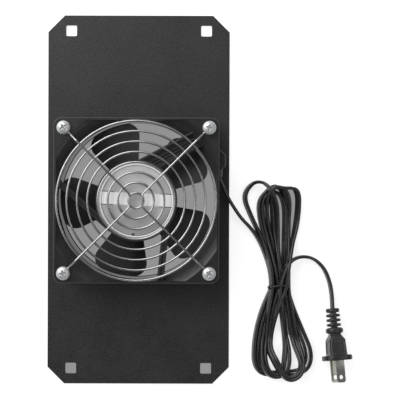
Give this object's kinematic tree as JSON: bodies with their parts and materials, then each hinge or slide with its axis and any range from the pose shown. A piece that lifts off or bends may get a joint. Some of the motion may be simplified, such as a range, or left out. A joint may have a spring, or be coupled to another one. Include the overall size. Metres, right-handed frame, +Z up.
{
  "type": "rack fan tray",
  "caption": "Flat rectangular panel with a square axial fan, wire finger guard and a tied mains cord, fixed through square corner holes.",
  "frame": {"origin": "centre of the plate's underside, below the fan's axis", "axes": "+Z up along the fan's axis towards the finger guard, +Y along the plate, +X across it towards the side that the cord leaves"},
  "size_m": [0.2269, 0.277, 0.0465],
  "materials": {
    "powder_coat": "black fine-textured powder coat",
    "fan_casting": "die casting painted satin black",
    "impeller_plastic": "black glass-filled plastic, semi gloss",
    "foil_label": "brushed silver foil",
    "guard_chrome": "bright plated wire",
    "zinc": "bright zinc plate",
    "spring_steel": "ground steel",
    "lamination": "stacked electrical steel",
    "copper_wire": "enamelled copper wire",
    "brass": "turned brass",
    "bronze": "sintered bronze",
    "tinned_brass": "tin plated",
    "nickel_brass": "nickel plated, satin",
    "former_plastic": "moulded nylon",
    "lead_insulation": "wire insulation",
    "moulded_pvc": "moulded black vinyl",
    "cord_pvc": "extruded black vinyl, slight gloss",
    "tie_plastic": "plastic covered wire"
  },
  "bodies": {
    "tray": {"mounting_plate": "powder_coat", "plate_screws": "zinc", "fan_frame": "fan_casting", "motor_label": "foil_label", "bearing_tube": "brass", "front_bearing": "bronze", "rear_bearing": "bronze", "stator_core": "lamination", "coil_formers": "former_plastic", "stator_coils": "copper_wire", "thrust_washer": "spring_steel", "spring_washer": "spring_steel", "guard_rings": "guard_chrome", "guard_spokes": "guard_chrome", "guard_screws": "zinc", "terminal_block": "former_plastic", "terminal_pins": "tinned_brass", "motor_leads": "lead_insulation", "connector_contacts": "tinned_brass", "cord_connector": "moulded_pvc", "connector_relief": "moulded_pvc", "cord_lead": "cord_pvc", "cord_hank": "cord_pvc", "cord_tie": "tie_plastic", "cord_tail": "cord_pvc", "plug_relief": "moulded_pvc", "plug_body": "moulded_pvc", "plug_blades": "nickel_brass"},
    "rotor": {"impeller": "impeller_plastic", "rotor_cage": "lamination", "rotor_shaft": "spring_steel", "retaining_clip": "spring_steel"}
  },
  "joints": [
    {"name": "rotor_spin", "type": "hinge", "parent": "tray", "child": "rotor", "pos_m": [0, 0, 0.02], "axis": [0, 0, 1], "continuous": true}
  ]
}
